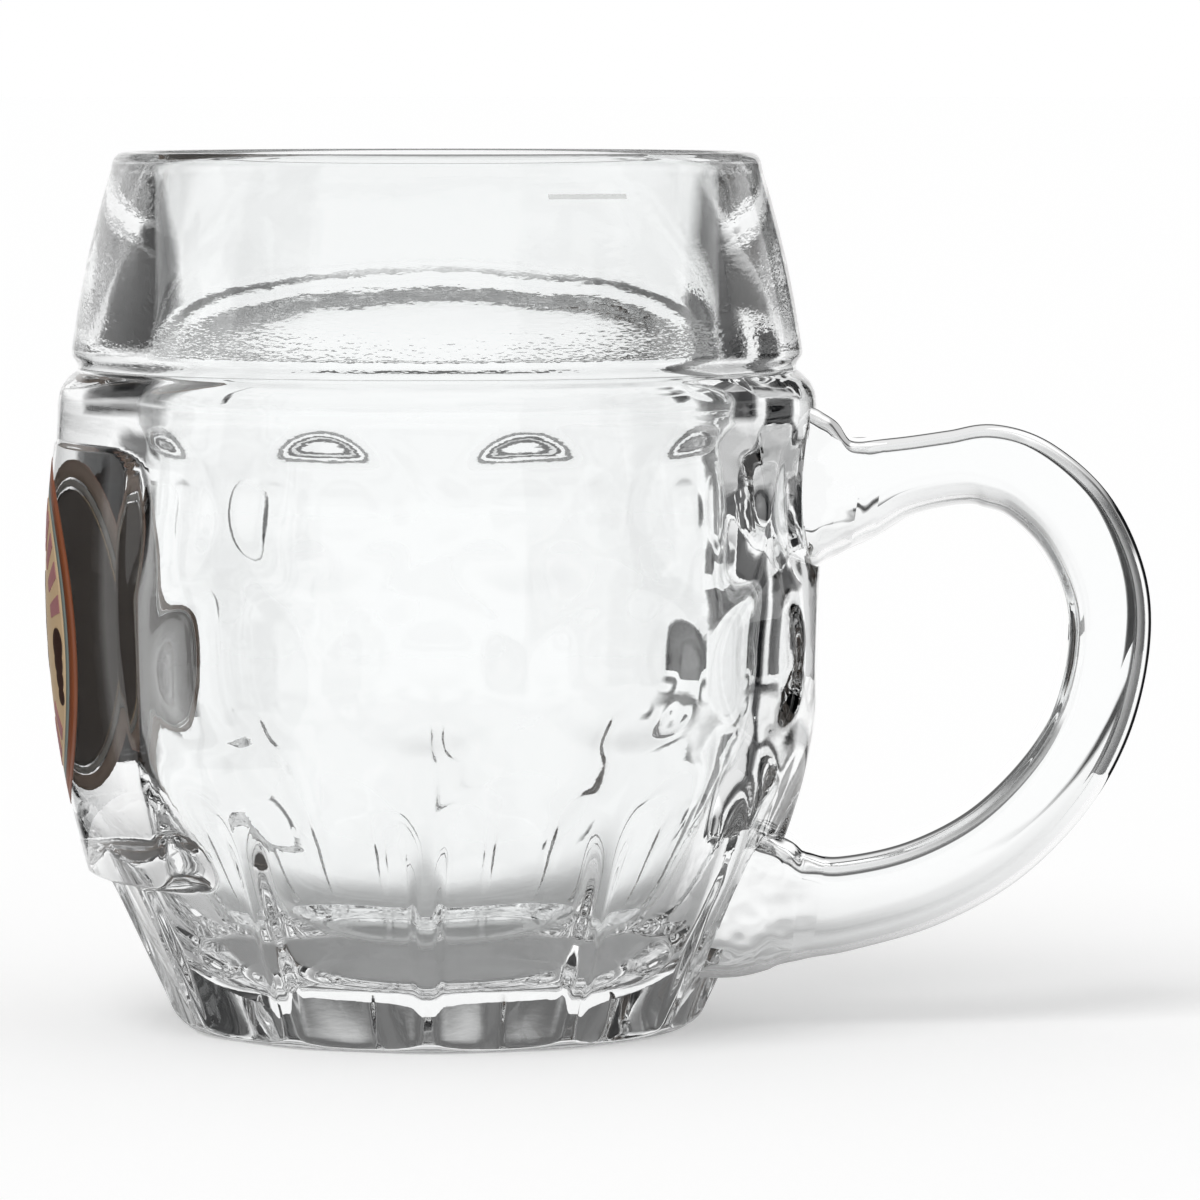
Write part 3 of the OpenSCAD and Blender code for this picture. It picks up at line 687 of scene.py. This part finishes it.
# Black cards: first and last bearing, distance from the mug's axis, foot, top and colour. Then the steps
# around a card, the share of its width in which a side thins out, and the share of its height where the top
# begins to.
CARDS = {
    "card_behind_left": (-86, -37, 0.155, 0, 0.105, "#0e0f11"),
    "card_behind_right": (23, 44, 0.36, 0.018, 0.27, "#0e0f11"),
    "card_beside_right": (58, 88, 0.155, 0, 0.12, "#1c1d1f"),
    "card_before_left": (-142, -112, 0.155, 0, 0.085, "#3a3b3d"),
    "card_before_right": (98, 124, 0.3, 0.02, 0.2, "#3a3b3d")}
CARD_STEPS, CARD_EDGE, CARD_FADES = 12, 0.1, 0.85

# Table: its half side, its drop below the foot, its pale colour, its dark colour, which the glass sees in
# the patches and in the painted shadow at the foot, and its glow
TABLE_HALF, TABLE_DROP = 60.0, 0.00002
TABLE_PALE, TABLE_DARK, TABLE_GLOW = "#e7e7e7", "#383838", 0.3

# What only the glass sees of the table: dark patches, with first and last bearing, nearest and farthest
# distance, how softly they fade in radians and in metres, and a painted shadow around the foot, with its
# darkness and reach
PATCHES = ((-66, -36, 0.5, 1.4), (24, 58, 0.245, 0.345))
BEARING_FADE, DISTANCE_FADE = 0.06, 0.02
FOOT_PAINTED_SHADOW, SHADE_FROM, SHADE_TO = 0.45, 0.045, 0.1

# Sky as the glass sees it: the dark room and the ceiling each begin between two angles above the horizon,
# given with the strengths before and after. The window has two bearings, their fading and a strength.
ROOM_FROM, CEILING_FROM = (13, 19, 1.0, 0.13), (36, 56, 0.0, 0.7)
WINDOW_SECTOR, WINDOW_LIGHT = (math.radians(26), math.radians(80), math.radians(4)), 0.55

# Light on the mug: the even light from all sides, and the lamp's strength, lean, turn and width
EVEN_LIGHT, LAMP_LIGHT = 0.62, 1.0
LAMP_LEAN, LAMP_TURN, LAMP_WIDTH = math.radians(38), math.radians(-30), math.radians(35)
WHITE = (1, 1, 1, 1)

# Camera: where it stands, what it is aimed at, its sensor in millimetres, and the photograph's width and
# scale at the mug's axis
SHOT_TURN, SHOT_FAR, SHOT_Z = math.radians(2), 1.05, 0.135
AIM_R, AIM_Z = 0.0233, 0.0607
SENSOR, FRAME_PX, PX_PER_MM = 36.0, 1200, 6.985

scene = bpy.context.scene
scene.view_settings.view_transform = "Standard"

# Light passes many walls of glass before it reaches the camera
scene.cycles.max_bounces = 24
scene.cycles.transmission_bounces = 24
scene.cycles.glossy_bounces = 12
scene.cycles.transparent_max_bounces = 16


def on_stage(name, points, faces, material):
    """A mesh for the stage, which stays apart from the mug's body."""
    data = bpy.data.meshes.new(name)
    data.from_pydata(points, [], faces)
    data.materials.append(material)
    obj = bpy.data.objects.new(name, data)
    scene.collection.objects.link(obj)
    return obj


def stand_card(name, first, last, radius, low, high, colour):
    """A black card that stands bent around the mug from bearing first to last, between two heights, and
    thins out towards its sides and its top. Only the glass shows it, as dark edges."""
    m, t, out = new_material(name)
    cover = add(t, "ShaderNodeAttribute", {"attribute_name": "cover"})
    air = add(t, "ShaderNodeBsdfTransparent")
    board = add(t, "ShaderNodeBsdfDiffuse", Color=srgb(colour))
    gauze = add(t, "ShaderNodeMixShader", i0=cover.outputs["Fac"], i1=air.outputs[0], i2=board.outputs[0])
    t.links.new(gauze.outputs[0], out.inputs["Surface"])
    turn = np.radians(np.linspace(first, last, CARD_STEPS + 1))[None, :]
    height = low + np.array([0, CARD_FADES, 1])[:, None] * (high - low)
    x, y, z = np.broadcast_arrays(radius * np.sin(turn), radius * np.cos(turn), height)
    points = np.stack([x, y, z], -1).reshape(-1, 3)
    card = on_stage(name, points.tolist(), quads(3, CARD_STEPS + 1, closed=False).tolist(), m)
    side = np.linspace(0, 1, CARD_STEPS + 1)
    across = np.clip(np.minimum(side, 1 - side) / CARD_EDGE, 0, 1)
    values = np.outer([1, 1, 0], across).ravel()
    card.data.attributes.new("cover", "FLOAT", "POINT").data.foreach_set("value", values)
    card.visible_camera = card.visible_diffuse = card.visible_shadow = False


def between(tree, value, low, high, soft):
    """A socket that is 1 between low and high and 0 outside, fading over soft to both sides of each."""
    after, before = (
        add(tree, "ShaderNodeMapRange", Value=value, From_Min=edge - fade, From_Max=edge + fade)
        for edge, fade in ((low, soft), (high, -soft)))
    both = add(tree, "ShaderNodeMath", {"operation": "MULTIPLY"}, i0=after.outputs[0], i1=before.outputs[0])
    return both.outputs[0]


def white_table():
    """Matt white card, which keeps the mug's shadow and is lifted to white by a faint glow where it is
    seen. In the glass it has a painted shadow close to the foot, and two dark patches, as of black paper."""
    m, t, out = new_material("white_table")
    path = add(t, "ShaderNodeLightPath").outputs
    in_glass = add(t, "ShaderNodeMath", {"operation": "MAXIMUM"}, i0=path["Is Transmission Ray"],
                   i1=path["Is Glossy Ray"]).outputs[0]
    seen = add(t, "ShaderNodeMath", {"operation": "MAXIMUM"}, i0=path["Is Camera Ray"], i1=in_glass)
    place = add(t, "ShaderNodeTexCoord").outputs["Object"]
    xyz = add(t, "ShaderNodeSeparateXYZ", Vector=place)
    bearing = add(t, "ShaderNodeMath", {"operation": "ARCTAN2"}, i0=xyz.outputs[0], i1=xyz.outputs[1])
    away = add(t, "ShaderNodeVectorMath", {"operation": "LENGTH"}, i0=place).outputs["Value"]
    # Painted shadow around the foot, which only the glass sees: darkest at the foot and gone further out
    dark = add(t, "ShaderNodeMapRange", {"interpolation_type": "SMOOTHSTEP"}, Value=away,
               From_Min=SHADE_FROM, From_Max=SHADE_TO, To_Min=FOOT_PAINTED_SHADOW, To_Max=0.0).outputs[0]
    for first, last, start, end in PATCHES:
        sector = between(t, bearing.outputs[0], math.radians(first), math.radians(last), BEARING_FADE)
        belt = between(t, away, start, end, DISTANCE_FADE)
        patch = add(t, "ShaderNodeMath", {"operation": "MULTIPLY"}, i0=sector, i1=belt)
        dark = add(t, "ShaderNodeMath", {"operation": "MAXIMUM"}, i0=dark, i1=patch.outputs[0]).outputs[0]
    dark = add(t, "ShaderNodeMath", {"operation": "MULTIPLY"}, i0=dark, i1=in_glass).outputs[0]
    shade = add(t, "ShaderNodeMix", {"data_type": "RGBA"}, i0=dark, i6=srgb(TABLE_PALE), i7=srgb(TABLE_DARK))
    matt = add(t, "ShaderNodeBsdfDiffuse", Color=shade.outputs[2])
    # The glow drops under the painted shadow and the patches, so that the glass sees them dark
    bare = add(t, "ShaderNodeMath", {"operation": "SUBTRACT"}, i0=1.0, i1=dark)
    lift = add(t, "ShaderNodeMath", {"operation": "MULTIPLY"}, i0=seen.outputs[0], i1=bare.outputs[0])
    lift = add(t, "ShaderNodeMath", {"operation": "MULTIPLY"}, i0=lift.outputs[0], i1=TABLE_GLOW)
    glow = add(t, "ShaderNodeEmission", Color=WHITE, Strength=lift.outputs[0])
    both = add(t, "ShaderNodeAddShader", i0=matt.outputs[0], i1=glow.outputs[0])
    t.links.new(both.outputs[0], out.inputs["Surface"])
    return m


def make_world():
    """The studio. The camera sees white, and the mug is lit by an even soft light. The glass sees a white
    band near the horizon, a dark room above it with one window, and a paler ceiling."""
    world = bpy.data.worlds.new("studio")
    scene.world = world
    world.use_nodes = True
    t = world.node_tree
    t.nodes.clear()
    out = t.nodes.new("ShaderNodeOutputWorld")
    path = add(t, "ShaderNodeLightPath").outputs
    in_glass = add(t, "ShaderNodeMath", {"operation": "MAXIMUM"}, i0=path["Is Transmission Ray"],
                   i1=path["Is Glossy Ray"])
    way = add(t, "ShaderNodeTexCoord")
    xyz = add(t, "ShaderNodeSeparateXYZ", Vector=way.outputs["Generated"])
    bearing = add(t, "ShaderNodeMath", {"operation": "ARCTAN2"}, i0=xyz.outputs[0], i1=xyz.outputs[1])
    room, ceiling = (
        add(t, "ShaderNodeMapRange", {"interpolation_type": "SMOOTHSTEP"}, Value=xyz.outputs[2],
            From_Min=math.sin(math.radians(first)), From_Max=math.sin(math.radians(last)),
            To_Min=before, To_Max=after)
        for first, last, before, after in (ROOM_FROM, CEILING_FROM))
    sector = between(t, bearing.outputs[0], *WINDOW_SECTOR)
    window = add(t, "ShaderNodeMath", {"operation": "MULTIPLY"}, i0=sector, i1=WINDOW_LIGHT)
    lit = add(t, "ShaderNodeMath", {"operation": "MAXIMUM"}, i0=window.outputs[0], i1=room.outputs[0])
    sky = add(t, "ShaderNodeMath", {"operation": "ADD"}, i0=lit.outputs[0], i1=ceiling.outputs[0])
    soft_light = add(t, "ShaderNodeBackground", Color=WHITE, Strength=EVEN_LIGHT)
    glass_sees = add(t, "ShaderNodeBackground", Color=WHITE, Strength=sky.outputs[0])
    backdrop = add(t, "ShaderNodeBackground", Color=WHITE, Strength=1.0)
    light = add(t, "ShaderNodeMixShader", i0=in_glass.outputs[0], i1=soft_light.outputs[0],
                i2=glass_sees.outputs[0])
    seen = add(t, "ShaderNodeMixShader", i0=path["Is Camera Ray"], i1=light.outputs[0],
               i2=backdrop.outputs[0])
    t.links.new(seen.outputs[0], out.inputs["Surface"])


def make_lamp():
    """A wide soft lamp above the mug. The glass doesn't mirror it."""
    lamp = bpy.data.lights.new("softbox", "SUN")
    lamp.energy = LAMP_LIGHT
    lamp.angle = LAMP_WIDTH
    obj = bpy.data.objects.new("softbox", lamp)
    obj.rotation_euler = (LAMP_LEAN, 0, LAMP_TURN)
    obj.visible_glossy = obj.visible_transmission = False
    scene.collection.objects.link(obj)


def make_camera():
    """The photograph's camera: it stands a little higher than the rim, nearly square to the handle. Its
    focal length is the sensor's width times the distance over the frame's real width at the mug."""
    place = Vector((SHOT_FAR * math.sin(SHOT_TURN), -SHOT_FAR * math.cos(SHOT_TURN), SHOT_Z))
    aim = Vector((AIM_R * math.cos(SHOT_TURN), AIM_R * math.sin(SHOT_TURN), AIM_Z))
    lens = bpy.data.cameras.new("camera")
    lens.sensor_width = SENSOR
    lens.lens = SENSOR * PX_PER_MM * (SHOT_FAR / MM) / FRAME_PX
    lens.clip_start, lens.clip_end = 0.05, 100
    camera = bpy.data.objects.new("camera", lens)
    camera.location = place
    camera.rotation_euler = (aim - place).to_track_quat("-Z", "Y").to_euler()
    scene.collection.objects.link(camera)
    scene.camera = camera


for name, card in CARDS.items():
    stand_card(name, *card)
corners = [(x * TABLE_HALF, y * TABLE_HALF, 0) for x, y in ((-1, -1), (1, -1), (1, 1), (-1, 1))]
table = on_stage("table", corners, [(0, 1, 2, 3)], white_table())
table.location.z = -TABLE_DROP
make_world()
make_lamp()
make_camera()

bpy.context.view_layer.update()
